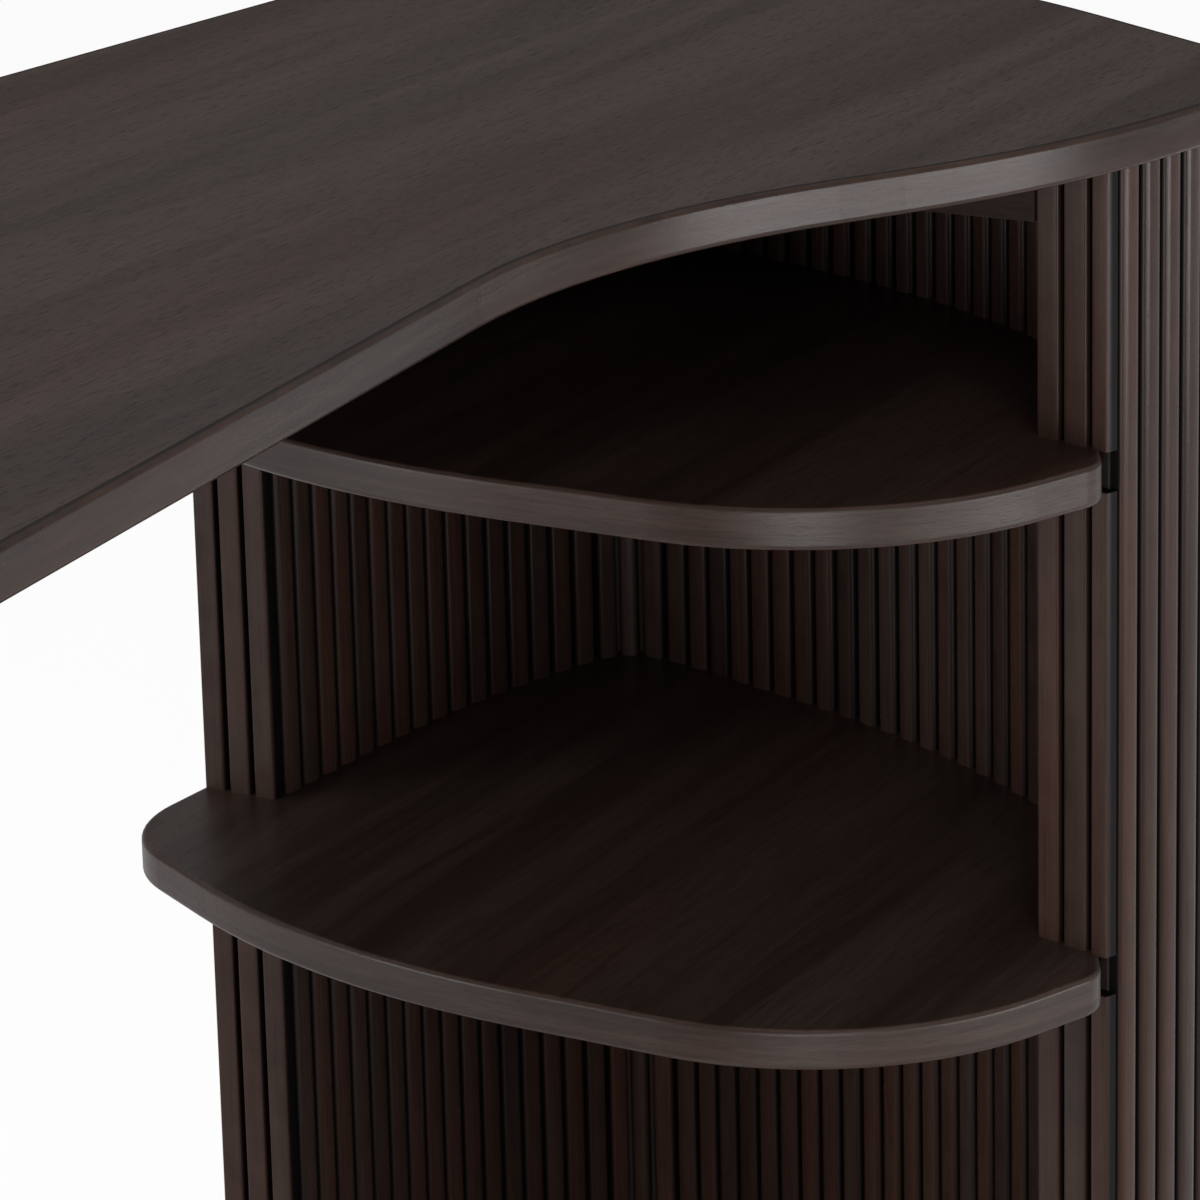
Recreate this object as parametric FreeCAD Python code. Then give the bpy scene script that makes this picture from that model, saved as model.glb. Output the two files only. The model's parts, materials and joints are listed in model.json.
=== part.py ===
import FreeCAD, Part
import math
import os

# Tambour desk: a curved slab top on a slatted shelf pedestal at the right end
# and a narrower slatted leg at the left end. Both supports are C-shaped walls,
# open towards the knee space, that follow the edge of the top.
# All sizes are in millimetres. +X is to the sitter's right, -Y towards the
# sitter, +Z up. The origin is on the floor, below the middle of the top.

# Overall sizes
desk_length = 1360.0
desk_height = 755.0
board_thickness = 19.0
foot_gap = 12.0

# Outline of the top: corners of its guide polygon, measured from the right end
# and from the back edge, or as a setback behind the front of the bulge
heel_from_right = 146.5
back_corner_depth = 45.0
side_corner_depth = 128.5
flank_from_right = 72.0
flank_setback = 225.5
bulge_from_right = 221.5
bulge_depth = 559.5
shoulder_from_right = 419.0
shoulder_setback = 27.0
waist_from_right = 628.0
waist_setback = 140.5
left_front_setback = 24.5
# How much of the shorter neighbouring side each rounding takes, in the order
# heel, back right, right side, flank, bulge, shoulder, waist, left front, left back
top_rounding_shares = (0.64, 0.63, 0.35, 0.405, 0.41, 0.43, 0.5, 0.265, 0.215)

# Edge lipping of the top
lipping_width = 3.2
lipping_round = 2.4
seam_chamfer = 0.5

# C-shaped walls
top_overhang = 11.0
wall_thickness = 46.0
skin_thickness = 4.0
rib_thickness = 18.0
post_length = 26.0
pedestal_opening = 353.0
front_cap_slant_degrees = 17.5
leg_reach = 183.0

# Slats on both faces of the walls and on their ends, with a slightly crowned
# face between rounded edges
slat_pitch = 17.1
slat_thickness = 7.0
slat_round = 2.4
slat_round_limit_share = 0.45
slat_crown = 0.5
slat_gap = 3.6
glue_line = 0.1
cap_strip_shares = (0.0, 0.333, 0.667, 1.0)
front_cap_strip_shares = (0.0, 0.355, 0.725, 1.0)

# Shelves: the height of the lower one's upper face above the floor, the clear
# height above the upper one, and the guide polygon of the rounded front,
# measured as the outline of the top is
lower_shelf_height = 365.0
upper_compartment_height = 131.0
shelf_nose_from_right = 427.0
shelf_front_from_right = 524.0
shelf_nose_setback = 371.5
shelf_shoulder_setback = 74.0
shelf_tip_from_right = 384.0
shelf_tip_setback = 28.0
shelf_rounding_shares = (0.0, 0.42, 0.56, 0.72, 0.26, 0.0)
shelf_edge_round = 2.5

# Rails below the top
header_thickness = 18.0
header_height = 32.0
apron_height = 70.0
apron_thickness = 18.0
apron_from_back = 24.0
fit_gap = 0.2

# Angle brackets between the apron and the top
bracket_leg = 30.0
bracket_width = 24.0
bracket_sheet = 2.5
bracket_shares = (0.08, 0.36, 0.64, 0.92)

# Dowels and screws
dowel_diameter = 8.0
dowel_length = 36.0
dowel_clearance = 0.1
dowel_rib_depth = 12.0
shelf_dowel_shares = (0.08, 0.25, 0.42, 0.58, 0.75, 0.92)
top_dowel_shares = (0.12, 0.37, 0.63, 0.88)
top_dowel_length = 24.0
top_dowel_rise = 10.0
screw_diameter = 4.0
header_screw_length = 32.0
bracket_screw_length = 13.0
screw_head_diameter = 8.0
screw_head_height = 2.4
header_counterbore_depth = 8.0
header_screw_shares = (0.15, 0.5, 0.85)

# Levelling feet: a pad that the stud swivels in, and a nut in the bottom rib
pad_diameter = 34.0
pad_height = 7.0
pad_round = 1.5
socket_depth = 4.0
stud_diameter = 8.0
stud_hex_width = 13.0
stud_clearance = 0.1
turn_gap = 0.3
nut_barrel_diameter = 11.0
nut_barrel_height = 14.0
nut_flange_diameter = 22.0
nut_flange_height = 1.5
pedestal_foot_shares = (0.04, 0.36, 0.68, 0.96)
leg_foot_shares = (0.06, 0.5, 0.94)

# Cutting tools run past the solid by this much
overrun = 60.0

Vector = FreeCAD.Vector
UP = Vector(0, 0, 1)
half_length = desk_length / 2
top_underside = desk_height - board_thickness
upper_shelf_height = top_underside - upper_compartment_height
leg_opening = desk_length - leg_reach
inner_face_inset = top_overhang + wall_thickness
outer_skin_inset = top_overhang + slat_thickness
inner_skin_inset = inner_face_inset - slat_thickness
cavity_outer_inset = outer_skin_inset + skin_thickness
cavity_inner_inset = inner_skin_inset - skin_thickness
cavity_middle_inset = (cavity_outer_inset + cavity_inner_inset) / 2
base_shelf_height = foot_gap + board_thickness


def plan(from_right, from_back, height=0.0):
    """A point of the floor plan, with the back edge of the top on y = 0."""
    return Vector(half_length - from_right, -from_back, height)


def unit(vector):
    """A copy of the vector with length one."""
    return Vector(vector).normalize()


def rounded_loop(corners, shares):
    """A closed wire round the corners; a share of zero leaves a corner sharp."""
    edges = []
    ends = []
    for index, corner in enumerate(corners):
        to_before = corners[index - 1] - corner
        to_after = corners[(index + 1) % len(corners)] - corner
        reach = shares[index] * min(to_before.Length, to_after.Length)
        start = corner + unit(to_before) * reach
        end = corner + unit(to_after) * reach
        ends.append((start, end))
        if reach > 0:
            half_angle = to_before.getAngle(to_after) / 2
            middle_reach = reach * (1 - math.sin(half_angle)) / math.cos(half_angle)
            middle = corner + unit(unit(to_before) + unit(to_after)) * middle_reach
            edges.append(Part.Arc(start, middle, end).toShape())
    for index, (start, end) in enumerate(ends):
        next_start = ends[(index + 1) % len(ends)][0]
        edges.append(Part.makeLine(end, next_start))
    return Part.Wire(Part.__sortEdges__(edges))


def top_outline():
    """The edge of the top, with its hollow waist and the bulge over the shelves."""
    corners = [
        plan(heel_from_right, 0),
        plan(0, back_corner_depth),
        plan(0, side_corner_depth),
        plan(flank_from_right, bulge_depth - flank_setback),
        plan(bulge_from_right, bulge_depth),
        plan(shoulder_from_right, bulge_depth - shoulder_setback),
        plan(waist_from_right, bulge_depth - waist_setback),
        plan(desk_length, bulge_depth - left_front_setback),
        plan(desk_length, 0),
    ]
    return rounded_loop(corners, top_rounding_shares)


outline = top_outline()
desk_depth = outline.BoundBox.YLength
inset_wires = {0: outline}


def inset_wire(inset):
    """The edge of the top moved inwards by the inset."""
    if inset not in inset_wires:
        inset_wires[inset] = outline.makeOffset2D(-inset)
    return inset_wires[inset]


def prism(wire, bottom, top):
    """The solid between two heights over a closed wire in the floor plan."""
    face = Part.Face(wire)
    face.translate(UP * bottom)
    return face.extrude(UP * (top - bottom))


def band(outer_inset, inner_inset, bottom, top):
    """The solid ring between two insets of the edge of the top."""
    outer = prism(inset_wire(outer_inset), bottom, top)
    return outer.cut(prism(inset_wire(inner_inset), bottom - overrun, top + overrun))


def front_depth_at(from_right, inset):
    """How far from the back edge the inset line of the front lies at one place."""
    line = Part.makeLine(plan(from_right, 0), plan(from_right, 2 * desk_depth))
    return max(-vertex.Y for vertex in line.section(inset_wire(inset)).Vertexes)


def zone_corners(side, setback):
    """The plan area of one support, up to the planes of its two wall ends.

    The setback moves both end planes away from the knee space."""
    far = desk_length + overrun
    slant = math.radians(side["cap_slant_degrees"])
    bend = front_depth_at(side["opening"], inner_face_inset)
    bend += setback * math.tan(slant / 2)
    near_end = side["opening"] - setback * side["away"]
    slant_run = (far - bend) * math.tan(slant) * side["away"]
    outside = -far if side["away"] > 0 else 2 * far
    return [
        plan(outside, -far),
        plan(near_end, -far),
        plan(near_end, bend),
        plan(near_end + slant_run, far),
        plan(outside, far),
    ]


def zone(side, setback):
    """The zone of a support as a tall solid that cuts a ring to its C shape."""
    wire = Part.makePolygon(zone_corners(side, setback), True)
    return prism(wire, -overrun, desk_height + overrun)


def wall_piece(side, outer_inset, inner_inset, setback, bottom, top):
    """A C-shaped length of wall between two insets and two heights."""
    return band(outer_inset, inner_inset, bottom, top).common(zone(side, setback))


def wall_path(side, inset, setback):
    """The open line of an inset inside a support, from the back end to the front."""
    area = Part.Face(Part.makePolygon(zone_corners(side, setback), True))
    edges = Part.__sortEdges__(inset_wire(inset).common(area).Edges)
    return Part.Wire(edges)


def path_points(path, count):
    """Evenly spaced points along a path, starting at its end nearest the back."""
    points = path.discretize(count)
    if points[0].y < points[-1].y:
        points.reverse()
    return points


def point_and_direction(path, share):
    """The place at a share of a path's length, and the direction along it."""
    steps = 400
    points = path_points(path, steps + 1)
    index = round(share * steps)
    index = min(max(index, 1), steps - 1)
    return points[index], unit(points[index + 1] - points[index - 1])


def facing(start, end, away):
    """The direction from start to end, and the level direction square to it."""
    along = unit(end - start)
    normal = UP.cross(along)
    return along, normal if normal.dot(away) > 0 else -normal


def slat(start, end, away, seat, bottom, top):
    """One slat between two joints, with rounded edges and a crowned face.

    Each joint is a point and the direction away from the wall there. The seat
    is how far the back of the slat lies from the straight line between them."""
    along, normal = facing(start[0], end[0], away)
    brow = slat_thickness - slat_crown
    shoulder = brow - slat_round
    narrow_start = start[0] + start[1] * shoulder
    narrow_end = end[0] + end[1] * shoulder
    width = min((end[0] - start[0]).Length, (narrow_end - narrow_start).Length) - slat_gap
    edge_round = min(slat_round, width * slat_round_limit_share)
    shoulder = brow - edge_round
    centre = (start[0] + end[0]) * 0.5 + normal * seat
    half = along * (width / 2)
    inset = along * edge_round
    corner = along * (edge_round * (1 - math.sqrt(0.5)))
    corner_rise = normal * (edge_round * math.sqrt(0.5))
    low_left = centre - half
    low_right = centre + half
    rise = normal * shoulder
    face_left = low_left + normal * brow + inset
    face_right = low_right + normal * brow - inset
    edges = [
        Part.makeLine(low_left, low_right),
        Part.makeLine(low_right, low_right + rise),
        Part.Arc(low_right + rise, low_right + rise - corner + corner_rise, face_right).toShape(),
        Part.Arc(face_right, centre + normal * slat_thickness, face_left).toShape(),
        Part.Arc(face_left, low_left + rise + corner + corner_rise, low_left + rise).toShape(),
        Part.makeLine(low_left + rise, low_left),
    ]
    return prism(Part.Wire(edges), bottom, top)


def slat_row(path, turn, bottom, top):
    """Slats side by side along a path; turn says which side of it they stand on.

    A slat sits on a line of glue, on the crown of the wall where that is round."""
    count = max(1, round(path.Length / slat_pitch))
    steps = 8
    points = path_points(path, steps * count + 1)
    directions = []
    for index in range(len(points)):
        before = points[max(index - 1, 0)]
        after = points[min(index + 1, len(points) - 1)]
        directions.append(unit(UP.cross(after - before)) * turn)
    slats = []
    for first in range(0, steps * count, steps):
        last = first + steps
        away = directions[first + steps // 2]
        normal = facing(points[first], points[last], away)[1]
        crown = max((point - points[first]).dot(normal) for point in points[first:last])
        start = (points[first], directions[first])
        end = (points[last], directions[last])
        slats.append(slat(start, end, away, crown + glue_line, bottom, top))
    return slats


def cap_line(side, front):
    """The line across one wall end that the cap strips are fixed to."""
    corners = zone_corners(side, slat_thickness)
    line = Part.makeLine(corners[2], corners[3 if front else 1])
    wall_face = Part.Face(inset_wire(top_overhang)).cut(Part.Face(inset_wire(inner_face_inset)))
    across = max(line.common(wall_face).Edges, key=lambda edge: edge.Length)
    ends = [vertex.Point for vertex in across.Vertexes]
    ends.sort(key=lambda point: (point - corners[2]).Length)
    return ends[0], ends[1]


def cap_strips(side, front, bands):
    """Upright strips that close one wall end, cut to the heights of the bands."""
    inner, outer = cap_line(side, front)
    shares = side["front_cap_shares"] if front else cap_strip_shares
    across = outer - inner
    away = UP.cross(unit(across))
    if away.x * side["away"] > 0:
        away = -away
    joints = [inner + across * share for share in shares]
    strips = []
    for bottom, top in bands:
        for start, end in zip(joints, joints[1:]):
            strips.append(slat((start, away), (end, away), away, 0.0, bottom, top))
    return strips


def along_holes(path, shares, diameter, bottom, top):
    """Upright round tools at shares of a path's length."""
    tools = []
    for share in shares:
        place = point_and_direction(path, share)[0]
        tools.append(Part.makeCylinder(diameter / 2, top - bottom, place + UP * bottom))
    return tools


def drilled(solid, tools):
    """The solid with every tool cut out of it."""
    for tool in tools:
        solid = solid.cut(tool)
    return solid


pedestal = {
    "name": "pedestal",
    "opening": pedestal_opening,
    "away": 1,
    "cap_slant_degrees": front_cap_slant_degrees,
    "front_cap_shares": front_cap_strip_shares,
    "foot_shares": pedestal_foot_shares,
}
leg = {
    "name": "leg",
    "opening": leg_opening,
    "away": -1,
    "cap_slant_degrees": 0.0,
    "front_cap_shares": cap_strip_shares,
    "foot_shares": leg_foot_shares,
}


def rib_setback():
    """Ribs stop at the end posts, which stand behind the cap strips."""
    return slat_thickness + post_length


def middle_path(side):
    """The line along the middle of the wall cavity between the end posts."""
    return wall_path(side, cavity_middle_inset, rib_setback())


def shelf_dowel_pairs(height):
    """Places and directions of the dowels that carry the shelf at one height."""
    path = wall_path(pedestal, cavity_inner_inset, rib_setback())
    middle = height - board_thickness / 2
    pairs = []
    for share in shelf_dowel_shares:
        place, along = point_and_direction(path, share)
        inwards = along.cross(UP)
        pairs.append((place - inwards * dowel_rib_depth + UP * middle, inwards))
    return pairs


def shelf_dowels(height, clearance):
    """Dowels, or their holes with a clearance, between a rib and its shelf."""
    radius = dowel_diameter / 2 + clearance
    length = dowel_length + 2 * clearance
    pegs = []
    for place, inwards in shelf_dowel_pairs(height):
        start = place - inwards * clearance
        pegs.append(Part.makeCylinder(radius, length, start, inwards))
    return pegs


shelf_heights = (base_shelf_height, lower_shelf_height, upper_shelf_height)


def shelf_holes():
    """Holes for all dowels of all shelves."""
    holes = []
    for height in shelf_heights:
        holes.extend(shelf_dowels(height, dowel_clearance))
    return holes


def top_dowels(side, clearance):
    """Upright dowels, or their holes, between a top rib and the top."""
    bottom = top_underside + top_dowel_rise - top_dowel_length - clearance
    top = top_underside + top_dowel_rise + clearance
    diameter = dowel_diameter + 2 * clearance
    return along_holes(middle_path(side), top_dowel_shares, diameter, bottom, top)


def nut_holes(side):
    """Holes for the barrels of the levelling nuts."""
    bottom = foot_gap - overrun
    top = foot_gap + rib_thickness + overrun
    return along_holes(middle_path(side), side["foot_shares"], nut_barrel_diameter, bottom, top)


def header_depths():
    """How far from the back edge the two ends of the header rail lie."""
    front = front_depth_at(pedestal_opening, inner_face_inset)
    return inner_face_inset + fit_gap, front


def screw(place, length):
    """A pan-head screw driven upwards, with its head below the given place."""
    shank = Part.makeCylinder(screw_diameter / 2, length, place)
    head_place = place - UP * screw_head_height
    head = Part.makeCylinder(screw_head_diameter / 2, screw_head_height, head_place)
    return shank.fuse(head).removeSplitter()


def header_screw_places():
    """Floors of the counterbores in the header rail, where its screws go in."""
    back, front = header_depths()
    height = top_underside - header_height + header_counterbore_depth
    places = []
    for share in header_screw_shares:
        depth = back + (front - back) * share
        places.append(plan(pedestal_opening - header_thickness / 2, depth, height))
    return places


def bracket_starts():
    """Distance from the right end to the near side of each angle bracket."""
    run = leg_opening - pedestal_opening - bracket_width
    return [pedestal_opening + run * share for share in bracket_shares]


def bracket_screw_places():
    """Undersides of the angle brackets where their screws go up into the top."""
    depth = apron_from_back + apron_thickness + (bracket_leg + bracket_sheet) / 2
    height = top_underside - bracket_sheet
    return [plan(start + bracket_width / 2, depth, height) for start in bracket_starts()]


def screw_bore(place, length):
    """The hole for one upward screw."""
    return Part.makeCylinder(screw_diameter / 2 + dowel_clearance, length + dowel_clearance, place)


def top_bores():
    """Holes in the underside of the top for dowels and screws."""
    bores = top_dowels(pedestal, dowel_clearance) + top_dowels(leg, dowel_clearance)
    for place in header_screw_places():
        bores.append(screw_bore(place, header_screw_length))
    for place in bracket_screw_places():
        bores.append(screw_bore(place, bracket_screw_length))
    return bores


def round_edges_at(solid, heights, radius):
    """The solid with the edges that lie flat at the given heights rounded."""
    chosen = []
    for edge in solid.Edges:
        box = edge.BoundBox
        for height in heights:
            if abs(box.ZMin - height) < fit_gap and abs(box.ZMax - height) < fit_gap:
                chosen.append(edge)
    return solid.makeFillet(radius, chosen)


def desktop_panel():
    """The board of the top inside its lipping."""
    board = prism(inset_wire(lipping_width), top_underside, desk_height)
    upper_edges = [edge for edge in board.Edges if edge.BoundBox.ZMin > top_underside + fit_gap]
    board = board.makeChamfer(seam_chamfer, upper_edges)
    return drilled(board, top_bores())


def desktop_lipping():
    """The solid wood strip round the edge of the top, with rounded corners."""
    slab = prism(outline, top_underside, desk_height)
    slab = round_edges_at(slab, (top_underside, desk_height), lipping_round)
    core = prism(inset_wire(lipping_width), top_underside - overrun, desk_height + overrun)
    return slab.cut(core)


def shelf(height):
    """A shelf that fills the C-shaped wall and swells out of its opening."""
    bottom = height - board_thickness
    inner, outer = cap_line(pedestal, True)
    strip_joint = inner + (outer - inner) * front_cap_strip_shares[2]
    tip = plan(shelf_tip_from_right, bulge_depth - shelf_tip_setback)
    tip_end = strip_joint + unit(strip_joint - tip) * slat_thickness
    back_end = plan(pedestal_opening - rib_setback(), top_overhang)
    corners = [
        back_end,
        plan(shelf_nose_from_right, top_overhang),
        plan(shelf_front_from_right, bulge_depth - shelf_nose_setback),
        plan(shelf_front_from_right, bulge_depth - shelf_shoulder_setback),
        tip,
        tip_end,
    ]
    front = prism(rounded_loop(corners, shelf_rounding_shares), bottom, height)
    front = round_edges_at(front, (bottom, height), shelf_edge_round)
    body = prism(inset_wire(inner_skin_inset), bottom, height).common(zone(pedestal, -post_length))
    wall = wall_piece(pedestal, 0, inner_skin_inset, slat_thickness, bottom - overrun, height + overrun)
    return drilled(body.fuse(front).cut(wall), shelf_dowels(height, dowel_clearance)).removeSplitter()


def header_rail():
    """The rail below the top across the opening of the shelves."""
    corner = plan(pedestal_opening, desk_depth, top_underside - header_height)
    rail = Part.makeBox(header_thickness, desk_depth, header_height, corner)
    inside = prism(inset_wire(inner_face_inset + fit_gap), 0, desk_height)
    bores = []
    for place in header_screw_places():
        bores.append(screw_bore(place, header_screw_length))
        bores.append(Part.makeCylinder(screw_head_diameter / 2 + dowel_clearance, header_height, place, -UP))
    return drilled(rail.common(inside), bores)


def back_apron():
    """The stiffening rail below the back of the top, from wall end to wall end."""
    length = leg_opening - pedestal_opening
    corner = plan(leg_opening, apron_from_back + apron_thickness, top_underside - apron_height)
    return Part.makeBox(length, apron_thickness, apron_height, corner)


def apron_brackets():
    """Bent steel angles in the corner between the apron and the top."""
    depth = apron_from_back + apron_thickness
    brackets = []
    for start in bracket_starts():
        corner = plan(start + bracket_width, depth + bracket_leg, top_underside - bracket_sheet)
        flange = Part.makeBox(bracket_width, bracket_leg, bracket_sheet, corner)
        corner = plan(start + bracket_width, depth + bracket_sheet, top_underside - bracket_leg)
        web = Part.makeBox(bracket_width, bracket_sheet, bracket_leg, corner)
        brackets.append(flange.fuse(web).removeSplitter())
    holes = [screw_bore(place, bracket_screw_length) for place in bracket_screw_places()]
    return [drilled(bracket, holes) for bracket in brackets]


def foot_places():
    """Where the levelling feet stand on the floor, pedestal first."""
    places = []
    for side in (pedestal, leg):
        path = middle_path(side)
        for share in side["foot_shares"]:
            places.append(point_and_direction(path, share)[0])
    return places


def foot_nut(place):
    """A flanged nut pressed up into the bottom rib."""
    barrel_top = foot_gap + nut_barrel_height
    flange_bottom = foot_gap - nut_flange_height
    flange = Part.makeCylinder(nut_flange_diameter / 2, nut_flange_height, place + UP * flange_bottom)
    barrel = Part.makeCylinder(nut_barrel_diameter / 2, nut_barrel_height, place + UP * foot_gap)
    bore = Part.makeCylinder(stud_diameter / 2 + stud_clearance, barrel_top + overrun, place)
    return flange.fuse(barrel).cut(bore).removeSplitter()


def foot_pad(place):
    """The round pad of a foot, with the socket that its stud turns in."""
    pad = Part.makeCylinder(pad_diameter / 2, pad_height, place)
    pad = round_edges_at(pad, (0.0, pad_height), pad_round)
    socket_radius = stud_diameter / 2 + stud_clearance
    socket = Part.makeCylinder(socket_radius, pad_height, place + UP * (pad_height - socket_depth))
    return pad.cut(socket)


def foot_stud(place):
    """The stud of a foot with its hexagon between the pad and the nut."""
    bottom = pad_height - socket_depth + turn_gap
    top = foot_gap + nut_barrel_height
    hex_bottom = pad_height + turn_gap
    hex_height = foot_gap - nut_flange_height - turn_gap - hex_bottom
    shank = Part.makeCylinder(stud_diameter / 2, top - bottom, place + UP * bottom)
    hex_radius = stud_hex_width / 2 / math.cos(math.pi / 6)
    corners = []
    for index in range(6):
        angle = index * math.pi / 3
        corners.append(place + Vector(math.cos(angle), math.sin(angle), 0) * hex_radius)
    hexagon = prism(Part.makePolygon(corners, True), hex_bottom, hex_bottom + hex_height)
    return shank.fuse(hexagon).removeSplitter()


def save(name, solids):
    """Write one node, moved so that the origin is below the middle of the top."""
    if not isinstance(solids, list):
        solids = [solids]
    whole = []
    for shape in solids:
        whole.extend(shape.Solids)
    node = whole[0] if len(whole) == 1 else Part.makeCompound(whole)
    node.translate(Vector(0, desk_depth / 2, 0))
    node.exportStep("parts/" + name + ".step")
    print(name, len(whole), "solids", round(node.Volume / 1000, 1), "cm3", node.isValid())


def save_wall(side, rib_heights, inner_bands, cap_bands):
    """Write every piece of one C-shaped wall."""
    name = side["name"]
    bottom = foot_gap
    top = top_underside
    holes = shelf_holes() if side is pedestal else []
    save(name + "_outer_skin",
         wall_piece(side, outer_skin_inset, cavity_outer_inset, slat_thickness, bottom, top))
    inner_skin = wall_piece(side, cavity_inner_inset, inner_skin_inset, slat_thickness, bottom, top)
    save(name + "_inner_skin", drilled(inner_skin, holes))
    for level, height in rib_heights.items():
        rib = wall_piece(side, cavity_outer_inset, cavity_inner_inset, rib_setback(),
                         height - rib_thickness, height)
        tools = list(holes)
        if level == "bottom":
            tools.extend(nut_holes(side))
        if level == "top":
            tools.extend(top_dowels(side, dowel_clearance))
        save(name + "_" + level + "_rib", drilled(rib, tools))
    cavity = wall_piece(side, cavity_outer_inset, cavity_inner_inset, slat_thickness, bottom, top)
    posts = cavity.cut(zone(side, rib_setback())).Solids
    posts.sort(key=lambda post: -post.CenterOfMass.y)
    save(name + "_back_post", posts[0])
    save(name + "_front_post", posts[1])
    turn = side["away"]
    outer_path = wall_path(side, outer_skin_inset, slat_thickness)
    save(name + "_outer_slats", slat_row(outer_path, turn, bottom, top))
    slant_room = slat_thickness * math.tan(math.radians(side["cap_slant_degrees"]))
    inner_path = wall_path(side, inner_skin_inset, slat_thickness + slant_room)
    for level, (band_bottom, band_top) in inner_bands.items():
        save(name + "_inner_slats" + level, slat_row(inner_path, -turn, band_bottom, band_top))
    save(name + "_back_cap_strips", cap_strips(side, False, cap_bands))
    save(name + "_front_cap_strips", cap_strips(side, True, cap_bands))


os.makedirs("parts", exist_ok=True)

save("desktop_panel", desktop_panel())
save("desktop_lipping", desktop_lipping())

pedestal_bands = {
    "_lower": (base_shelf_height, lower_shelf_height - board_thickness),
    "_middle": (lower_shelf_height, upper_shelf_height - board_thickness),
    "_upper": (upper_shelf_height, top_underside),
}
pedestal_ribs = {
    "bottom": foot_gap + rib_thickness,
    "lower": lower_shelf_height,
    "upper": upper_shelf_height,
    "top": top_underside,
}
save_wall(pedestal, pedestal_ribs, pedestal_bands, list(pedestal_bands.values()))

leg_ribs = {
    "bottom": foot_gap + rib_thickness,
    "middle": (foot_gap + top_underside + rib_thickness) / 2,
    "top": top_underside,
}
leg_bands = {"": (foot_gap, top_underside)}
save_wall(leg, leg_ribs, leg_bands, list(leg_bands.values()))

for shelf_name, shelf_height in zip(("base_shelf", "lower_shelf", "upper_shelf"), shelf_heights):
    save(shelf_name, shelf(shelf_height))
save("header_rail", header_rail())
save("back_apron", back_apron())
save("apron_brackets", apron_brackets())

all_dowels = []
for shelf_height in shelf_heights:
    all_dowels.extend(shelf_dowels(shelf_height, 0.0))
save("shelf_dowels", all_dowels)
save("top_dowels", top_dowels(pedestal, 0.0) + top_dowels(leg, 0.0))
save("header_screws", [screw(place, header_screw_length) for place in header_screw_places()])
save("bracket_screws", [screw(place, bracket_screw_length) for place in bracket_screw_places()])

save("foot_nuts", [foot_nut(place) for place in foot_places()])
for number, place in enumerate(foot_places(), start=1):
    save("foot_pad_" + str(number), foot_pad(place))
    save("foot_stud_" + str(number), foot_stud(place))
    print("foot", number, [round(value, 3) for value in place + Vector(0, desk_depth / 2, 0)])
print("depth", round(desk_depth, 3))
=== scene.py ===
import json
import math
import random

import bmesh
import bpy
from mathutils import Matrix, Vector

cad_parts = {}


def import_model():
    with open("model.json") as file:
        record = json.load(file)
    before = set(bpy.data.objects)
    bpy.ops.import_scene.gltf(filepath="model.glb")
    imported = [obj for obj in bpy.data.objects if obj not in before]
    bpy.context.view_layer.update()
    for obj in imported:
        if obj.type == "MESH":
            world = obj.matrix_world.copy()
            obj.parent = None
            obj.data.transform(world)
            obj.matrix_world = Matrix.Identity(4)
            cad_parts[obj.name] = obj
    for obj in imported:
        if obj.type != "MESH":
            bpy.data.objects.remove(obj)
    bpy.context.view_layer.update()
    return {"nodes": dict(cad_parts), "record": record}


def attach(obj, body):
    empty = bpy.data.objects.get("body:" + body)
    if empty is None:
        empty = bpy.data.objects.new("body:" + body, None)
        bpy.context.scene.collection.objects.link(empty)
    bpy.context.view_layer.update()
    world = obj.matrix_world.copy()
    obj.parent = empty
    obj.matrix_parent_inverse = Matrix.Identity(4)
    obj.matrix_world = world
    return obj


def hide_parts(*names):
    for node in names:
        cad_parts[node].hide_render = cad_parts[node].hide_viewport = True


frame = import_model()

# Tambour desk in dark espresso wood: the finish of every piece, the studio and
# the camera. All lengths are in metres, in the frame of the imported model.

# Camera: the angle and framing of the photograph. A new camera looks straight
# down, and the level turn brings it up to look at the horizon.
LEVEL_TURN_DEGREES = 90.0
CAMERA_PLACE = (-1.6487, -1.1680, 1.1854)
CAMERA_YAW_DEGREES = 58.956
CAMERA_PITCH_DEGREES = 14.557
CAMERA_ROLL_DEGREES = -1.385
LENS_MM = 150.0
SENSOR_MM = 36.0
SHIFT_UP = -0.15

# Studio: a white floor, an even surround, and soft boxes as place, target, size and watts
FLOOR_SIZE = 60.0
FLOOR_WHITE = (0.92, 0.92, 0.92, 1.0)
FLOOR_ROUGHNESS = 0.9
FLOOR_SPECULAR = 0.1
FLOOR_GLOW_SHARE = 0.94
GLOW_STRENGTH = 1.0
SURROUND_STRENGTH = 0.30
WHITE = (1.0, 1.0, 1.0, 1.0)
SOFT_BOXES = {
    "left": ((-2.6, 0.1, 0.65), (0.4, 0.0, 0.5), (1.2, 1.1), 60.0),
    "low_left": ((-1.9, -1.2, 0.35), (0.4, 0.0, 0.5), (1.0, 0.6), 29.0),
    "camera_side": ((-2.2, -2.0, 2.2), (0.3, 0.0, 0.5), (1.4, 1.4), 30.0),
    "front_low": ((0.75, -2.8, 0.32), (0.3, -0.1, 0.5), (1.5, 0.56), 42.0),
    "front_left": ((-0.5, -2.7, 0.35), (0.4, -0.1, 0.5), (0.5, 0.6), 14.0),
    "back_left": ((-1.9, 1.9, 0.7), (0.3, 0.1, 0.4), (1.2, 1.2), 36.0),
    "overhead": ((0.2, 0.3, 2.6), (0.1, 0.0, 0.7), (2.0, 1.6), 26.0),
}

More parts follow.
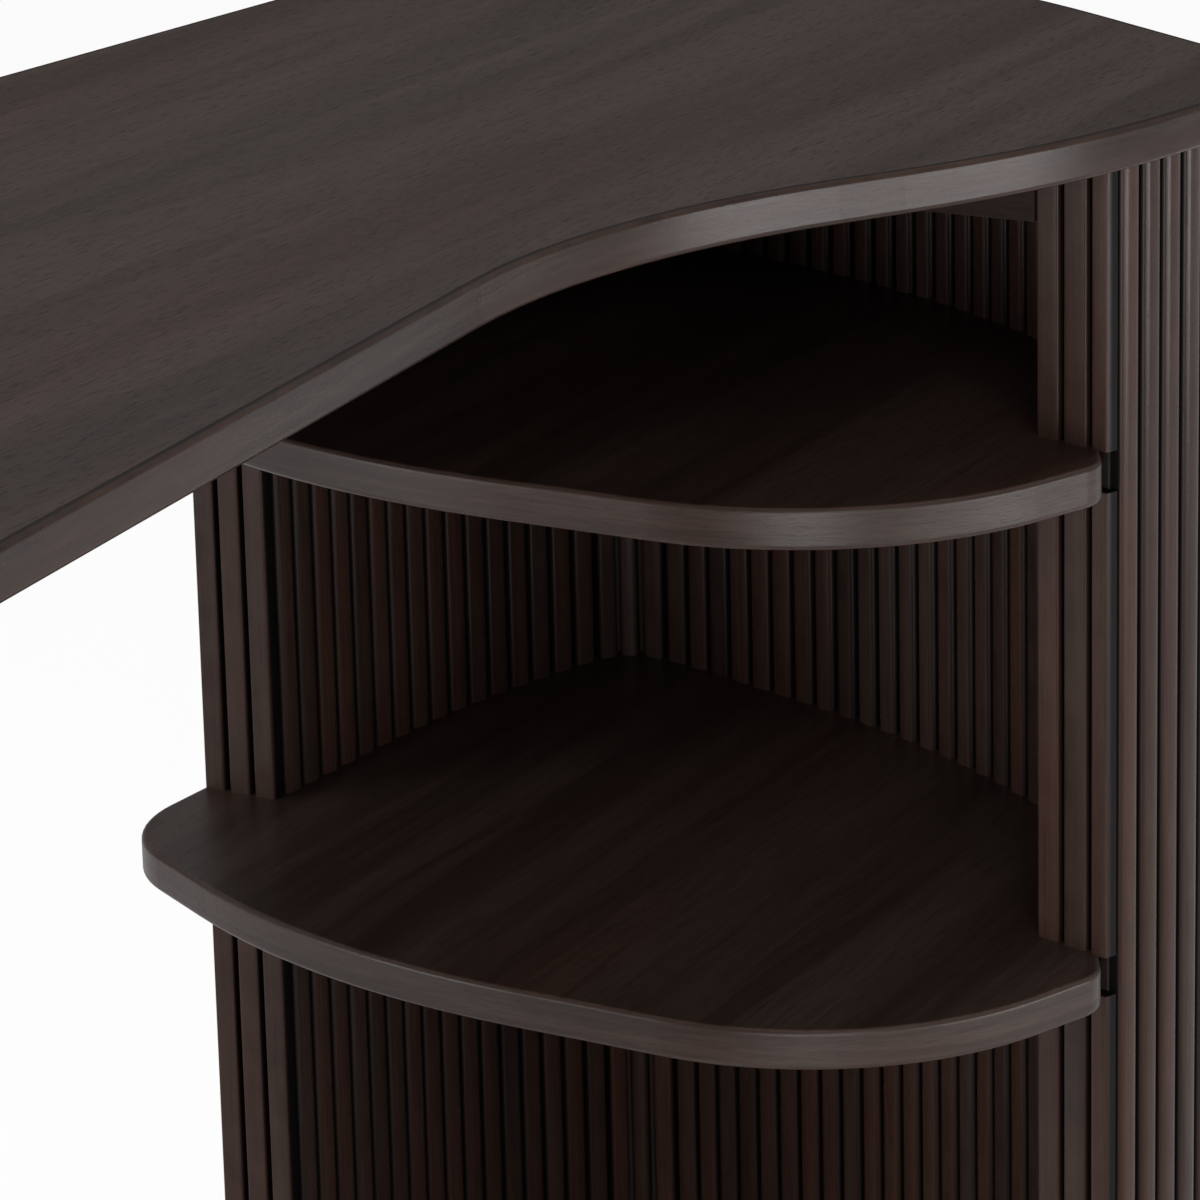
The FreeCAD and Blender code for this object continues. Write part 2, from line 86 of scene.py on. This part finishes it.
# Slats: a rounded section that is wider than its base by the swell on both sides
# together. Tone differs from slat to slat, and crest rises from 0 at the base to 1.
TONE = "tone"
CREST = "crest"
TONE_SEED = 20
WELD = 1e-6
LEVEL_NORMAL = 0.5
SLAT_SWELL = 0.0004
SLAT_SIDE_SHARE = 0.40
SLAT_ROUNDNESS = 3.0
CAP_ROUNDNESS = 8.0
CAP_NAME = "cap_strips"
SLAT_SLOT = "slat_wood"
SLAT_STEPS = 18
SMOOTH_DEGREES = 40.0

# Sockets of a mix node by what it mixes: first, second and result
MIX_SOCKETS = {"RGBA": (6, 7, 2), "VECTOR": (4, 5, 1)}

# An edge shows where the normal of a rounded corner departs from the true one, by
# the dot product of the two
EDGE_SAMPLES = 4
EDGE_DOT_SPAN = (0.999, 0.93)


class Finish:
    """A material that is put together from nodes."""

    def __init__(self, name):
        self.material = bpy.data.materials.new(name)
        self.material.use_nodes = True
        self.nodes = self.material.node_tree.nodes
        self.links = self.material.node_tree.links
        self.shader = self.nodes["Principled BSDF"]

    def feed(self, node, inputs):
        """Link each socket of a node to another node's, or set its own value."""
        for key, value in inputs.items():
            if isinstance(value, bpy.types.NodeSocket):
                self.links.new(value, node.inputs[key])
            else:
                node.inputs[key].default_value = value

    def add(self, kind, inputs=None, **settings):
        """A new node with its settings and inputs."""
        node = self.nodes.new(kind)
        for key, value in settings.items():
            setattr(node, key, value)
        self.feed(node, inputs or {})
        return node

    def math(self, operation, first, second=0.0, clamp=False):
        """One calculation with two values."""
        inputs = {0: first, 1: second}
        node = self.add("ShaderNodeMath", inputs, operation=operation, use_clamp=clamp)
        return node.outputs[0]

    def vector_math(self, operation, first, second):
        """The node of one calculation with two vectors."""
        return self.add("ShaderNodeVectorMath", {0: first, 1: second}, operation=operation)

    def place(self):
        """Where a point is on the part, in metres."""
        return self.add("ShaderNodeTexCoord").outputs["Object"]

    def scaled(self, vector, scale):
        """The vector stretched along each axis."""
        return self.add("ShaderNodeMapping", {"Vector": vector, "Scale": scale}).outputs[0]

    def turned(self, vector, degrees):
        """The vector turned about each axis."""
        turn = tuple(math.radians(angle) for angle in degrees)
        return self.add("ShaderNodeMapping", {"Vector": vector, "Rotation": turn}).outputs[0]

    def noise(self, vector, scale=1.0, detail=2.0, roughness=0.5, distortion=0.0):
        """Smooth noise from about 0.2 to 0.8."""
        inputs = {"Vector": vector, "Scale": scale, "Detail": detail,
                  "Roughness": roughness, "Distortion": distortion}
        return self.add("ShaderNodeTexNoise", inputs).outputs["Fac"]

    def spread(self, value, span, result=(0.0, 1.0)):
        """The value moved from its span to the result's, and kept inside it."""
        low, high = span
        to_low, to_high = result
        inputs = {"Value": value, "From Min": low, "From Max": high,
                  "To Min": to_low, "To Max": to_high}
        return self.add("ShaderNodeMapRange", inputs, clamp=True).outputs[0]

    def mix(self, share, first, second, data_type="RGBA"):
        """Two colours or vectors mixed by a share."""
        first_socket, second_socket, result = MIX_SOCKETS[data_type]
        inputs = {"Factor": share, first_socket: first, second_socket: second}
        return self.add("ShaderNodeMix", inputs, data_type=data_type).outputs[result]

    def edges(self, radius):
        """From 0 on open faces to 1 on rounded or sharp edges."""
        bevel = self.add("ShaderNodeBevel", {"Radius": radius}, samples=EDGE_SAMPLES)
        true_normal = self.add("ShaderNodeNewGeometry").outputs["Normal"]
        dot = self.vector_math("DOT_PRODUCT", bevel.outputs[0], true_normal)
        return self.spread(dot.outputs["Value"], EDGE_DOT_SPAN)

    def bump(self, height, strength, distance):
        """The normal of a surface that is raised by a height value."""
        inputs = {"Height": height, "Strength": strength, "Distance": distance}
        return self.add("ShaderNodeBump", inputs).outputs[0]


# Espresso stain: in pores, painted shade in the grooves, the dark, middle and light of the figure,
# red bands, and edges where it is rubbed off, also used as painted light on the lipping's rounding
STAIN_PORE = (0.0042, 0.0027, 0.0023, 1.0)
PAINTED_GROOVE_SHADE = (0.0016, 0.0011, 0.0010, 1.0)
STAIN_DARK = (0.0120, 0.0072, 0.0058, 1.0)
STAIN_MIDDLE = (0.0240, 0.0150, 0.0120, 1.0)
STAIN_LIGHT = (0.0350, 0.0230, 0.0188, 1.0)
STAIN_RED = (0.0430, 0.0185, 0.0130, 1.0)
STAIN_RUBBED_AND_PAINTED_LIGHT = (0.0620, 0.0380, 0.0300, 1.0)

# Kinds of wooden piece: grain along the length, up a slat or level round an edge,
# and a board with the first on its faces and the last on its edges
LENGTH, UPRIGHT, EDGE, BOARD = "length", "upright", "edge", "board"

# Features of the wood and the settings of their noise
FIGURE, BANDS, FIBRES, PORES = "figure", "bands", "fibres", "pores"
FEATURE_NOISE = {
    FIGURE: {"detail": 5.0, "roughness": 0.6, "distortion": 0.5},
    BANDS: {"detail": 3.0},
    FIBRES: {"detail": 3.0, "roughness": 0.6},
    PORES: {"detail": 1.0},
}

# Scale of each feature: X runs along the grain of boards and slats, and a level
# edge has its layers in Z
GRAIN_SCALES = {
    LENGTH: {FIGURE: (1.3, 22.0, 22.0), BANDS: (0.7, 7.0, 7.0),
             FIBRES: (26.0, 640.0, 640.0), PORES: (120.0, 1300.0, 1300.0)},
    UPRIGHT: {FIGURE: (1.6, 45.0, 45.0), BANDS: (0.9, 12.0, 12.0),
              FIBRES: (12.0, 620.0, 620.0), PORES: (80.0, 1500.0, 1500.0)},
    EDGE: {FIGURE: (5.0, 5.0, 140.0), BANDS: (4.0, 4.0, 40.0),
           FIBRES: (40.0, 40.0, 700.0), PORES: (170.0, 170.0, 1500.0)},
}
GRAIN_SCALES[BOARD] = GRAIN_SCALES[LENGTH]
LENGTH_TURN_DEGREES = (0.0, 0.0, -4.0)
SLAT_TURN_DEGREES = (0.0, 90.0, 0.0)
SLAT_SHIFT = (7.3, 3.1, 5.7)
LEVEL_SPAN = (0.6, 0.8)

# Where the stain changes, as spans of noise or of a slat's tone, and how strongly
FIGURE_LIGHT_SPAN = (0.36, 0.64)
FIGURE_DARK_SPAN = (0.52, 0.34)
FIGURE_DARKNESS = 0.6
RED_BAND_SPAN = (0.40, 0.66)
RED_SLAT_SPAN = (0.5, 1.0)
SLAT_REDNESS = 0.45
DARK_SLAT_SPAN = (0.45, 0.0)
SLAT_DARKNESS = 0.4
FIBRE_SPAN = (0.42, 0.64)
FIBRE_DARKNESS = 0.45
PORE_SPAN = (0.55, 0.70)

# Wear and painted light: painted shade in the grooves by the crest, edges rubbed in patches,
# painted light on the lipping's rounding, a dark seam round the top, and painted shade on board
# edges
GROOVE_SHADE_SPAN = (0.92, 0.55)
CREST_RUB_SPAN = (0.93, 1.0)
CREST_RUB = 0.5
ROUNDING_PAINTED_LIGHT_SPAN = (0.1, 0.5)
BOARD_WEAR_RADIUS = 0.0015
PATCH_SCALE = 55.0
PATCH_DETAIL = 3.0
PATCH_SPAN = (0.35, 0.75)
PATCH_RUB_AND_PAINTED_LIGHT = (0.15, 0.6)
SEAM_SPAN = (0.93, 0.99)
SEAM_STAIN = 0.9
BOARD_EDGE_SHADE = 0.5

# Lacquer: satin that differs in bands, dull in pores, grooves and the seam, and a
# fine relief as strength and height
SATIN_SPAN = (0.25, 0.75)
SATIN_PLAY = 0.04
PORE_DULLNESS = 0.2
GROOVE_DULLNESS = 0.4
GROOVE_DULL_SPAN = (0.85, 0.40)
ROUNDING_DULL_SPAN = (0.6, 0.95)
LACQUER_SCALE = 700.0
LACQUER_RELIEF = 0.6
FIBRE_RELIEF = 0.5
WOOD_BUMP = (0.25, 0.00022)


def along_length(finish):
    """Coordinates whose X runs along the boards' grain."""
    return finish.turned(finish.place(), LENGTH_TURN_DEGREES)


def slat_value(finish, name):
    """The tone of the slat that a point is on, or the point's place up to the crest."""
    return finish.add("ShaderNodeAttribute", attribute_name=name).outputs["Fac"]


def along_slat(finish):
    """Coordinates whose X runs up a slat, in another piece of wood for each slat."""
    tone = slat_value(finish, TONE)
    shift = [finish.math("MULTIPLY", tone, amount) for amount in SLAT_SHIFT]
    shift = finish.add("ShaderNodeCombineXYZ", dict(enumerate(shift))).outputs[0]
    moved = finish.vector_math("ADD", finish.place(), shift).outputs[0]
    return finish.turned(moved, SLAT_TURN_DEGREES)


def upward(finish):
    """1 on faces that look up, 0 on upright faces and -1 on faces that look down."""
    normal = finish.add("ShaderNodeTexCoord").outputs["Normal"]
    return finish.add("ShaderNodeSeparateXYZ", {0: normal}).outputs["Z"]


def level_share(finish):
    """1 on faces that look up or down, and 0 on upright faces."""
    return finish.spread(finish.math("ABSOLUTE", upward(finish)), LEVEL_SPAN)


GRAIN_WAYS = {LENGTH: along_length, UPRIGHT: along_slat, EDGE: Finish.place, BOARD: along_length}


class Grain:
    """The features of a piece of wood of one kind, as noise that follows its grain."""

    def __init__(self, finish, kind):
        self.finish = finish
        self.kind = kind
        self.along = GRAIN_WAYS[kind](finish)
        self.level = level_share(finish) if kind == BOARD else None
        self.figure = self.feature(FIGURE)
        self.bands = self.feature(BANDS)
        self.fibre = self.feature(FIBRES)
        self.pore = self.feature(PORES)

    def feature(self, name):
        """The noise of one feature, stretched along the grain."""
        finish = self.finish
        place = finish.scaled(self.along, GRAIN_SCALES[self.kind][name])
        if self.kind == BOARD:
            edge = finish.scaled(finish.place(), GRAIN_SCALES[EDGE][name])
            place = finish.mix(self.level, edge, place, "VECTOR")
        return finish.noise(place, **FEATURE_NOISE[name])


def shaded(colour, painted_light_level):
    """A colour of the stain made lighter or darker by a piece's painted light level."""
    return tuple(part * painted_light_level for part in colour[:3]) + colour[3:]


def stained(grain, painted_light_level, red_share):
    """The stain's colour with figure, red bands and fibres, and with the tone of a slat."""
    finish = grain.finish
    dark, middle, light, red_stain = (
        shaded(stain, painted_light_level) for stain in (STAIN_DARK, STAIN_MIDDLE, STAIN_LIGHT, STAIN_RED))
    colour = finish.mix(finish.spread(grain.figure, FIGURE_LIGHT_SPAN), middle, light)
    shadow = finish.spread(grain.figure, FIGURE_DARK_SPAN, (0.0, FIGURE_DARKNESS))
    colour = finish.mix(shadow, colour, dark)
    red = finish.math("MULTIPLY", finish.spread(grain.bands, RED_BAND_SPAN), red_share)
    if grain.kind == UPRIGHT:
        tone = slat_value(finish, TONE)
        redder = finish.spread(tone, RED_SLAT_SPAN, (0.0, SLAT_REDNESS))
        red = finish.math("ADD", red, redder, clamp=True)
        colour = finish.mix(finish.spread(tone, DARK_SLAT_SPAN, (0.0, SLAT_DARKNESS)), colour, dark)
    colour = finish.mix(red, colour, red_stain)
    return finish.mix(finish.spread(grain.fibre, FIBRE_SPAN, (0.0, FIBRE_DARKNESS)), colour, dark)


def rubbed_and_painted_light(finish, colour, painted_light_level, edges):
    """The colour lightened in patches where the mask is: stain rubbed off along edges and crests,
    and painted light on the lipping's rounding.
    """
    patchy = finish.noise(finish.place(), PATCH_SCALE, PATCH_DETAIL)
    share = finish.math("MULTIPLY", edges, finish.spread(patchy, PATCH_SPAN, PATCH_RUB_AND_PAINTED_LIGHT))
    return finish.mix(share, colour, shaded(STAIN_RUBBED_AND_PAINTED_LIGHT, painted_light_level))


def wear_and_painted_light(grain, colour, painted_light_level):
    """The colour with rubbed edges, the seam, painted shade in grooves and board edges, painted
    light on the lipping.
    """
    finish = grain.finish
    if grain.kind == LENGTH:
        seam = finish.math("MULTIPLY", finish.edges(BOARD_WEAR_RADIUS), SEAM_STAIN)
        return finish.mix(seam, colour, STAIN_PORE)
    if grain.kind == UPRIGHT:
        crest = slat_value(finish, CREST)
        # Painted shade: a slat's sides darken towards its base, in the groove between slats
        colour = finish.mix(finish.spread(crest, GROOVE_SHADE_SPAN), colour, PAINTED_GROOVE_SHADE)
        return rubbed_and_painted_light(finish, colour, painted_light_level, finish.spread(crest, CREST_RUB_SPAN, (0.0, CREST_RUB)))
    if grain.kind == EDGE:
        up = upward(finish)
        # Painted light: the lipping's rounding is lighter the more it faces up, in patches
        colour = rubbed_and_painted_light(finish, colour, painted_light_level, finish.spread(up, ROUNDING_PAINTED_LIGHT_SPAN))
        return finish.mix(finish.spread(up, SEAM_SPAN, (0.0, SEAM_STAIN)), colour, STAIN_PORE)
    colour = rubbed_and_painted_light(finish, colour, painted_light_level, finish.edges(BOARD_WEAR_RADIUS))
    # Painted shade: a board's upright edges are darkened towards the pore colour, its level faces
    # are not
    upright = finish.spread(grain.level, (1.0, 0.0), (0.0, BOARD_EDGE_SHADE))
    return finish.mix(upright, colour, STAIN_PORE)


def satin(grain, roughness, pores):
    """The lacquer's roughness, with dull pores, grooves and roundings."""
    finish = grain.finish
    value = finish.spread(grain.bands, SATIN_SPAN, (roughness - SATIN_PLAY, roughness + SATIN_PLAY))
    value = finish.math("ADD", value, finish.math("MULTIPLY", pores, PORE_DULLNESS))
    if grain.kind == UPRIGHT:
        dull = finish.spread(slat_value(finish, CREST), GROOVE_DULL_SPAN, (0.0, GROOVE_DULLNESS))
        return finish.math("ADD", value, dull)
    if grain.kind == EDGE:
        dull = finish.spread(upward(finish), ROUNDING_DULL_SPAN, (0.0, GROOVE_DULLNESS))
        return finish.math("ADD", value, dull)
    return value


def relief(grain, pores):
    """The normal of wood with raised fibres, sunk pores and uneven lacquer."""
    finish = grain.finish
    lacquer = finish.noise(finish.place(), LACQUER_SCALE)
    height = finish.math("MULTIPLY", grain.fibre, FIBRE_RELIEF)
    height = finish.math("SUBTRACT", height, pores)
    height = finish.math("ADD", height, finish.math("MULTIPLY", lacquer, LACQUER_RELIEF))
    return finish.bump(height, *WOOD_BUMP)


def wood(name, kind, painted_light_level, roughness, specular, red_share, pore_share):
    """Stained and lacquered wood with figure, fibres, pores and worn edges, and with painted light
    and shade.
    """
    finish = Finish(name)
    grain = Grain(finish, kind)
    pores = finish.spread(grain.pore, PORE_SPAN, (0.0, pore_share))
    colour = finish.mix(pores, stained(grain, painted_light_level, red_share), STAIN_PORE)
    finish.feed(finish.shader, {"Base Color": wear_and_painted_light(grain, colour, painted_light_level),
                                "Roughness": satin(grain, roughness, pores),
                                "Specular IOR Level": specular,
                                "Normal": relief(grain, pores)})
    return finish.material


# Span of plain noise, in the three finishes that follow
NOISE_SPAN = (0.3, 0.7)

# Plywood: dark and light of the face and the line between layers, for each wood
STAINED_PLY = ((0.010, 0.0070, 0.0060, 1.0), (0.017, 0.0120, 0.0100, 1.0),
               (0.006, 0.0045, 0.0040, 1.0))
BEECH = ((0.44, 0.28, 0.16, 1.0), (0.58, 0.40, 0.25, 1.0), (0.34, 0.21, 0.12, 1.0))
PLY_FIBRE_SCALE = (400.0, 400.0, 18.0)
PLY_FIBRE_DETAIL = 3.0
PLY_CLOUD_SCALE = 14.0
PLY_CLOUD_SPAN = (0.4, 0.7)
PLY_CLOUD_DARKNESS = 0.3
PLY_LAYERS = {"Scale": 110.0, "Distortion": 0.6, "Detail": 2.0}
PLY_LAYER_SPAN = (0.35, 0.65)
PLY_LAYER_STRENGTH = 0.5
PLY_ROUGHNESS = (0.6, 0.8)
PLY_SPECULAR = 0.2
PLY_BUMP = (0.2, 0.0002)


def plywood(name, face_dark, face_light, line):
    """Plywood: face veneer with fibres, and layers that show on level faces."""
    finish = Finish(name)
    place = finish.place()
    fibre = finish.noise(finish.scaled(place, PLY_FIBRE_SCALE), detail=PLY_FIBRE_DETAIL)
    cloud = finish.noise(place, PLY_CLOUD_SCALE)
    wave = finish.add("ShaderNodeTexWave", {"Vector": place, **PLY_LAYERS}, bands_direction="Z")
    layer = finish.spread(wave.outputs["Fac"], PLY_LAYER_SPAN, (0.0, PLY_LAYER_STRENGTH))
    colour = finish.mix(finish.spread(fibre, NOISE_SPAN), face_dark, face_light)
    shadow = finish.spread(cloud, PLY_CLOUD_SPAN, (0.0, PLY_CLOUD_DARKNESS))
    colour = finish.mix(shadow, colour, face_dark)
    colour = finish.mix(finish.math("MULTIPLY", layer, level_share(finish)), colour, line)
    finish.feed(finish.shader, {"Base Color": colour,
                                "Roughness": finish.spread(fibre, NOISE_SPAN, PLY_ROUGHNESS),
                                "Specular IOR Level": PLY_SPECULAR,
                                "Normal": finish.bump(fibre, *PLY_BUMP)})
    return finish.material


STEEL_DARK = (0.40, 0.40, 0.40, 1.0)
STEEL_LIGHT = (0.58, 0.57, 0.54, 1.0)
STEEL_BRUSH_SCALE = (60.0, 2400.0, 2400.0)
STEEL_CLOUD_SCALE = 90.0
STEEL_CLOUD_DETAIL = 3.0
STEEL_ROUGHNESS = (0.26, 0.48)
STEEL_BUMP = (0.15, 0.00005)
METALLIC = 1.0


def steel(name):
    """Zinc-plated steel with fine marks."""
    finish = Finish(name)
    place = finish.place()
    brushed = finish.noise(finish.scaled(place, STEEL_BRUSH_SCALE))
    cloud = finish.noise(place, STEEL_CLOUD_SCALE, STEEL_CLOUD_DETAIL)
    colour = finish.mix(finish.spread(cloud, NOISE_SPAN), STEEL_DARK, STEEL_LIGHT)
    finish.feed(finish.shader, {"Base Color": colour,
                                "Metallic": METALLIC,
                                "Roughness": finish.spread(brushed, NOISE_SPAN, STEEL_ROUGHNESS),
                                "Normal": finish.bump(brushed, *STEEL_BUMP)})
    return finish.material


PLASTIC_DARK = (0.010, 0.010, 0.011, 1.0)
PLASTIC_LIGHT = (0.018, 0.018, 0.019, 1.0)
PLASTIC_SCUFFED = (0.10, 0.10, 0.10, 1.0)
PLASTIC_GRAIN_SCALE = 2600.0
PLASTIC_SCUFF_SCALE = 240.0
PLASTIC_SCUFF_DETAIL = 3.0
PLASTIC_SCUFF_RADIUS = 0.0012
PLASTIC_ROUGHNESS = (0.42, 0.62)
PLASTIC_BUMP = (0.25, 0.00008)


def plastic(name):
    """Black moulded plastic with a fine grain and scuffed edges."""
    finish = Finish(name)
    place = finish.place()
    grain = finish.noise(place, PLASTIC_GRAIN_SCALE)
    patchy = finish.noise(place, PLASTIC_SCUFF_SCALE, PLASTIC_SCUFF_DETAIL)
    scuff = finish.math("MULTIPLY", finish.edges(PLASTIC_SCUFF_RADIUS), patchy)
    colour = finish.mix(finish.spread(grain, NOISE_SPAN), PLASTIC_DARK, PLASTIC_LIGHT)
    colour = finish.mix(scuff, colour, PLASTIC_SCUFFED)
    finish.feed(finish.shader, {"Base Color": colour,
                                "Roughness": finish.spread(grain, NOISE_SPAN, PLASTIC_ROUGHNESS),
                                "Normal": finish.bump(grain, *PLASTIC_BUMP)})
    return finish.material


# Painted light level: lit and shaded copies of one stain, lighter on the top and shelves, darker on
# the lipping, rail and slats
FINISHES = {
    "top_wood": wood("top_wood_finish", LENGTH, painted_light_level=1.25, roughness=0.58, specular=0.15,
                     red_share=0.25, pore_share=0.5),
    "edge_wood": wood("edge_wood_finish", EDGE, painted_light_level=0.68, roughness=0.28, specular=0.13,
                      red_share=0.45, pore_share=0.1),
    "shelf_wood": wood("shelf_wood_finish", BOARD, painted_light_level=1.6, roughness=0.38, specular=0.20,
                       red_share=0.40, pore_share=0.3),
    "rail_wood": wood("rail_wood_finish", BOARD, painted_light_level=0.8, roughness=0.55, specular=0.08,
                      red_share=0.20, pore_share=0.5),
    "slat_wood": wood("slat_wood_finish", UPRIGHT, painted_light_level=0.82, roughness=0.24, specular=0.10,
                      red_share=0.85, pore_share=0.3),
    "ply": plywood("ply_finish", *STAINED_PLY),
    "dowel_wood": plywood("dowel_wood_finish", *BEECH),
    "steel": steel("steel_finish"),
    "foot_plastic": plastic("foot_plastic_finish"),
}


def node_slots():
    """The material slot of each node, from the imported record."""
    return {part["node"]: part["material_slot"] for part in frame["record"]["subparts"]}


def paint(piece, finish):
    """Make the finish the only material of a piece."""
    piece.data.materials.clear()
    piece.data.materials.append(finish)


def islands(work):
    """Groups of connected vertices, one per slat."""
    seen = set()
    groups = []
    for first in work.verts:
        if first in seen:
            continue
        seen.add(first)
        group = [first]
        for vert in group:
            for edge in vert.link_edges:
                other = edge.other_vert(vert)
                if other not in seen:
                    seen.add(other)
                    group.append(other)
        groups.append(group)
    return groups


def on_rim(edge, bottom):
    """Whether an edge at the bottom of a slat lies between a level and an upright face."""
    level = [abs(face.normal.z) > LEVEL_NORMAL for face in edge.link_faces]
    low = all(vert.co.z < bottom + WELD for vert in edge.verts)
    return low and any(level) and not all(level)


def slat_seat(group):
    """The two ends of a slat's base, the way it faces, its depth and its top."""
    bottom = min(vert.co.z for vert in group)
    top = max(vert.co.z for vert in group)
    foot = [vert for vert in group if vert.co.z < bottom + WELD]
    rim = [edge for vert in foot for edge in vert.link_edges if on_rim(edge, bottom)]
    base = max(rim, key=lambda edge: edge.calc_length())
    start, end = (vert.co.copy() for vert in base.verts)
    along = (end - start).normalized()
    out = Vector((-along.y, along.x, 0.0))
    depth = max((vert.co - start).dot(out) for vert in foot)
    if depth < WELD:
        start, end, out = end, start, -out
        depth = max((vert.co - start).dot(out) for vert in foot)
    return start, end, out, depth, top


def slat_seats(mesh):
    """The seat of each slat of a group."""
    work = bmesh.new()
    work.from_mesh(mesh)
    bmesh.ops.remove_doubles(work, verts=work.verts, dist=WELD)
    work.normal_update()
    seats = [slat_seat(group) for group in islands(work)]
    work.free()
    return seats


def slat_section(width, depth, roundness):
    """The rounded section of a slat, as places across it and out from its base."""
    half = (width + SLAT_SWELL) / 2
    side = depth * SLAT_SIDE_SHARE
    power = 2.0 / roundness
    points = [(-half, 0.0)]
    for step in range(SLAT_STEPS + 1):
        angle = math.pi * (1.0 - step / SLAT_STEPS)
        across = math.copysign(abs(math.cos(angle)) ** power, math.cos(angle))
        rise = math.sin(angle) ** power if 0 < step < SLAT_STEPS else 0.0
        points.append((half * across, side + (depth - side) * rise))
    points.append((half, 0.0))
    return points


def slat_faces(first, count):
    """The sides and ends of a slat with two sections of count points, from point first on."""
    low = [first + index for index in range(count)]
    high = [index + count for index in low]
    faces = []
    for index in range(count):
        after = (index + 1) % count
        faces.append((low[after], low[index], high[index], high[after]))
    return faces + [low, high[::-1]]


def slat_mesh(name, seats, roundness, rng):
    """Rounded slats on their seats, each with a tone of its own."""
    verts, faces, tones, crests = [], [], [], []
    for start, end, out, depth, top in seats:
        along = (end - start).normalized()
        centre = (start + end) / 2
        section = slat_section((end - start).length, depth, roundness)
        faces.extend(slat_faces(len(verts), len(section)))
        tone = rng.random()
        for height in (start.z, top):
            for across, rise in section:
                place = centre + along * across + out * rise
                verts.append((place.x, place.y, height))
                tones.append(tone)
                crests.append(rise / depth)
    mesh = bpy.data.meshes.new(name)
    mesh.from_pydata(verts, [], faces)
    for attribute, values in ((TONE, tones), (CREST, crests)):
        mesh.attributes.new(attribute, "FLOAT", "POINT").data.foreach_set("value", values)
    mesh.shade_smooth()
    mesh.set_sharp_from_angle(angle=math.radians(SMOOTH_DEGREES))
    return mesh


def slat_piece(node, slot, rng):
    """Rounded slats in the places of a group's plain ones."""
    roundness = CAP_ROUNDNESS if CAP_NAME in node else SLAT_ROUNDNESS
    name = node + "_rounded"
    mesh = slat_mesh(name, slat_seats(frame["nodes"][node].data), roundness, rng)
    piece = bpy.data.objects.new(name, mesh)
    bpy.context.scene.collection.objects.link(piece)
    paint(piece, FINISHES[slot])
    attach(piece, "desk")
    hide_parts(node)


def dress():
    """Give every node its finish, and round the slats."""
    rng = random.Random(TONE_SEED)
    for node, slot in sorted(node_slots().items()):
        if slot == SLAT_SLOT:
            slat_piece(node, slot, rng)
        else:
            paint(frame["nodes"][node], FINISHES[slot])


def seen_white(finish):
    """1 for rays from the camera, mirrors and glass, and 0 for others."""
    rays = finish.add("ShaderNodeLightPath").outputs
    seen = finish.math("MAXIMUM", rays["Is Camera Ray"], rays["Is Glossy Ray"])
    return finish.math("MAXIMUM", seen, rays["Is Transmission Ray"])


def floor_finish():
    """White that glows for the camera and in reflections, and takes light and shadow."""
    finish = Finish("floor_finish")
    finish.feed(finish.shader, {"Base Color": FLOOR_WHITE,
                                "Roughness": FLOOR_ROUGHNESS,
                                "Specular IOR Level": FLOOR_SPECULAR})
    glow = finish.add("ShaderNodeEmission", {"Color": WHITE, "Strength": GLOW_STRENGTH})
    share = finish.math("MULTIPLY", seen_white(finish), FLOOR_GLOW_SHARE)
    inputs = {0: share, 1: finish.shader.outputs[0], 2: glow.outputs[0]}
    mixed = finish.add("ShaderNodeMixShader", inputs)
    finish.feed(finish.nodes["Material Output"], {"Surface": mixed.outputs[0]})
    return finish.material


def floor():
    """A wide pale floor that keeps the shadow of the desk."""
    half = FLOOR_SIZE / 2
    mesh = bpy.data.meshes.new("floor")
    corners = [(-half, -half, 0.0), (half, -half, 0.0), (half, half, 0.0), (-half, half, 0.0)]
    mesh.from_pydata(corners, [], [range(len(corners))])
    piece = bpy.data.objects.new("floor", mesh)
    bpy.context.scene.collection.objects.link(piece)
    paint(piece, floor_finish())


def world():
    """An even surround that lights the desk softly from all sides."""
    surround = bpy.data.worlds.new("studio")
    surround.use_nodes = True
    background = surround.node_tree.nodes["Background"]
    background.inputs["Color"].default_value = WHITE
    background.inputs["Strength"].default_value = SURROUND_STRENGTH
    bpy.context.scene.world = surround


def soft_box(name, place, target, size, watts):
    """A rectangular soft light at a place, aimed at a target."""
    data = bpy.data.lights.new(name, "AREA")
    data.shape = "RECTANGLE"
    data.size, data.size_y = size
    data.energy = watts
    lamp = bpy.data.objects.new(name, data)
    lamp.location = place
    aim = Vector(target) - Vector(place)
    lamp.rotation_euler = aim.to_track_quat("-Z", "Y").to_euler()
    bpy.context.scene.collection.objects.link(lamp)


def lights():
    """The soft boxes of the studio."""
    for name, (place, target, size, watts) in SOFT_BOXES.items():
        soft_box(name, place, target, size, watts)


def turn(degrees, axis):
    """A turn about an axis, as a 4 by 4 matrix."""
    return Matrix.Rotation(math.radians(degrees), 4, axis)


def camera():
    """The photograph's camera."""
    data = bpy.data.cameras.new("camera")
    data.lens = LENS_MM
    data.sensor_width = SENSOR_MM
    data.shift_y = SHIFT_UP
    eye = bpy.data.objects.new("camera", data)
    yaw = turn(-CAMERA_YAW_DEGREES, "Z")
    pitch = turn(LEVEL_TURN_DEGREES - CAMERA_PITCH_DEGREES, "X")
    roll = turn(CAMERA_ROLL_DEGREES, "Z")
    eye.matrix_world = Matrix.Translation(CAMERA_PLACE) @ yaw @ pitch @ roll
    bpy.context.scene.collection.objects.link(eye)
    bpy.context.scene.camera = eye


dress()
floor()
world()
lights()
camera()
bpy.context.scene.view_settings.view_transform = "Standard"
